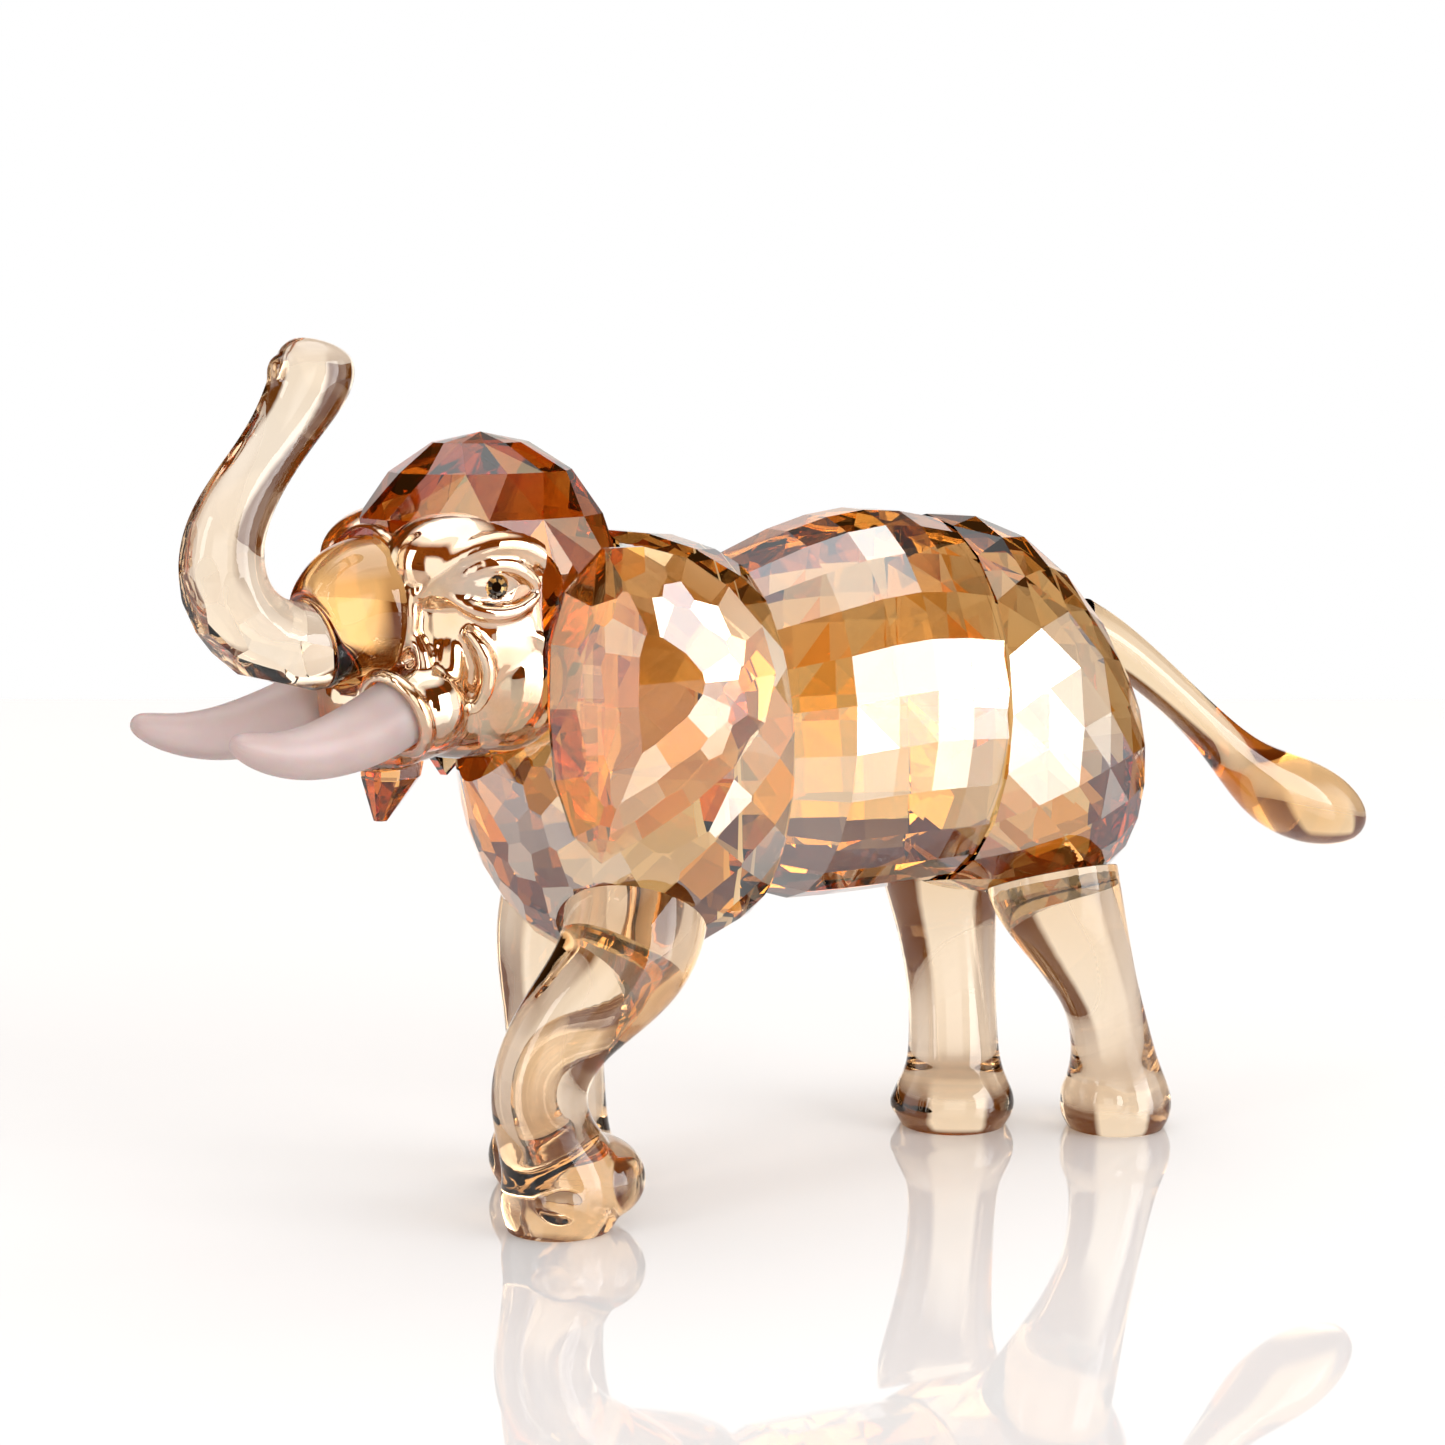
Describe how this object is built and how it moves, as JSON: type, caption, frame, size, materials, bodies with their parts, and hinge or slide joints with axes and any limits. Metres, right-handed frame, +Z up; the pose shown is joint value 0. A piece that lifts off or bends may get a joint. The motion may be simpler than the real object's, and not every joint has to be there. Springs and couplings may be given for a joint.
{
  "type": "crystal glass figurine",
  "caption": "Cut and moulded crystal elephant figurine, walking with raised trunk, built from faceted and smooth glass pieces bonded on flat seats.",
  "frame": {"origin": "centre of the bounding box, on the floor under the feet", "axes": "-X the way the elephant walks, -Y its left side, +Z up"},
  "size_m": [0.2142, 0.0586, 0.1275],
  "materials": {
    "amber_crystal": "polished facets, amber through the body, thin lilac lustre coating",
    "mirror_gilt_crystal": "polished, amber skull facets and a smooth face with a half-mirrored gold coating",
    "pale_crystal": "fire polished, pale honey",
    "frosted_crystal": "satin etched, pinkish white",
    "eye_stone": "polished dark stone with a gilt back",
    "clear_adhesive": "clear cured adhesive"
  },
  "bodies": {
    "root": {"chest": "amber_crystal", "barrel": "amber_crystal", "rump": "amber_crystal", "left_ear": "amber_crystal", "right_ear": "amber_crystal", "lower_jaw": "amber_crystal", "head": "mirror_gilt_crystal", "trunk_root": "pale_crystal", "trunk": "pale_crystal", "front_left_leg": "pale_crystal", "front_right_leg": "pale_crystal", "rear_left_leg": "pale_crystal", "rear_right_leg": "pale_crystal", "tail": "pale_crystal", "left_tusk": "frosted_crystal", "right_tusk": "frosted_crystal", "left_eye": "eye_stone", "right_eye": "eye_stone", "body_bonds": "clear_adhesive", "leg_bonds": "clear_adhesive", "trunk_bonds": "clear_adhesive", "tusk_bonds": "clear_adhesive", "ear_bonds": "clear_adhesive", "jaw_bond": "clear_adhesive", "tail_bond": "clear_adhesive"}
  },
  "joints": []
}
